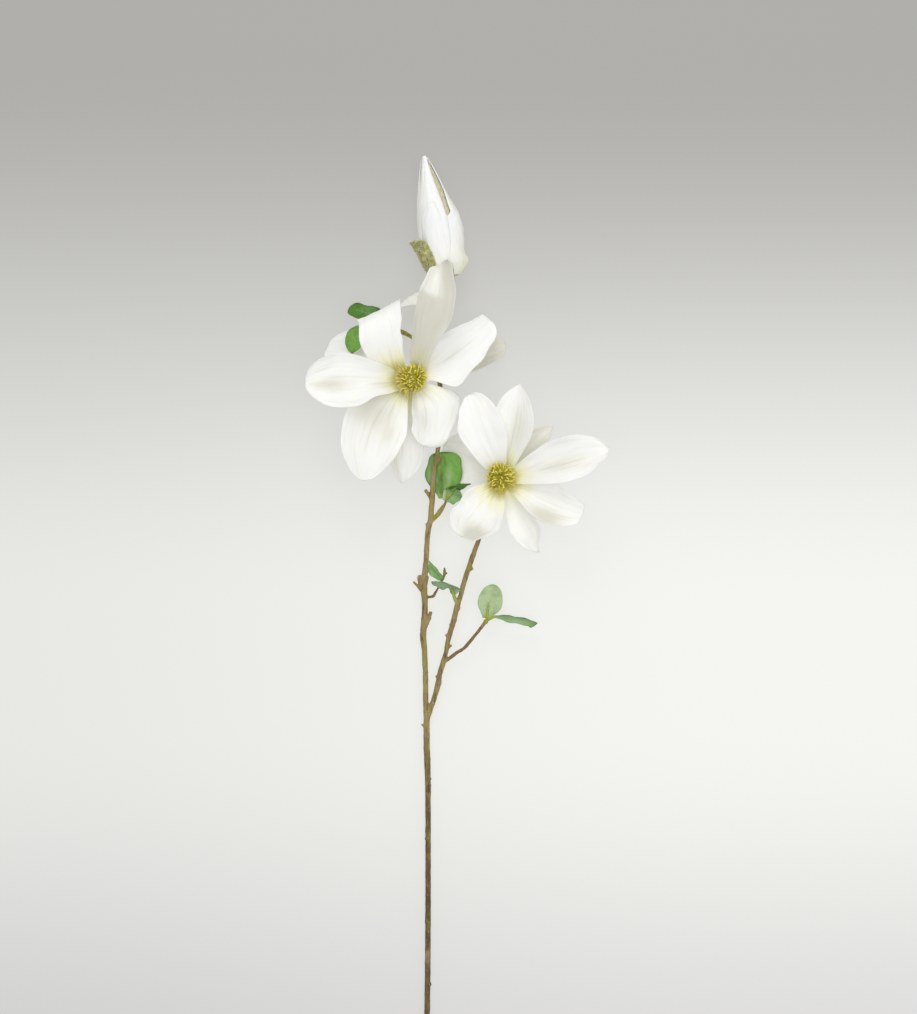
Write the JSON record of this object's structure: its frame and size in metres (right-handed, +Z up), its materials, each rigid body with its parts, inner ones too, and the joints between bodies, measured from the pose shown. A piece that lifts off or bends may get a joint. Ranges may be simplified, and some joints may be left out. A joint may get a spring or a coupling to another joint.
{
  "type": "magnolia branch",
  "caption": "Cut flowering branch lying flat: open white blooms with stamen cones, a closed bud in hairy bracts, a knotty woody stem and small leaves.",
  "frame": {"origin": "middle of the branch's footprint, on the surface that it lies on", "axes": "+Y from the cut end of the stem to the tip of the bud, +X to the right seen from above, +Z up out of the surface, the way the blooms face"},
  "size_m": [0.297, 0.9256, 0.0871],
  "materials": {
    "bark": "rough brown-olive bark",
    "petal": "satin white, cream at the base",
    "stamen": "matte yellow-green",
    "bud": "satin white, cream at the base",
    "bract": "short olive hairs",
    "leaf": "satin green"
  },
  "bodies": {
    "root": {"branch": "bark", "upper_bloom_petals": "petal", "upper_bloom_cone": "stamen", "lower_bloom_petals": "petal", "lower_bloom_cone": "stamen", "bud_petals": "bud", "bud_bracts": "bract", "leaf_upper_left_top": "leaf", "leaf_upper_left_low": "leaf", "leaf_cluster_round": "leaf", "leaf_cluster_edge": "leaf", "leaf_cluster_low": "leaf", "leaf_middle_narrow": "leaf", "leaf_middle_folded": "leaf", "leaf_right_round": "leaf", "leaf_right_flat": "leaf"}
  },
  "joints": []
}
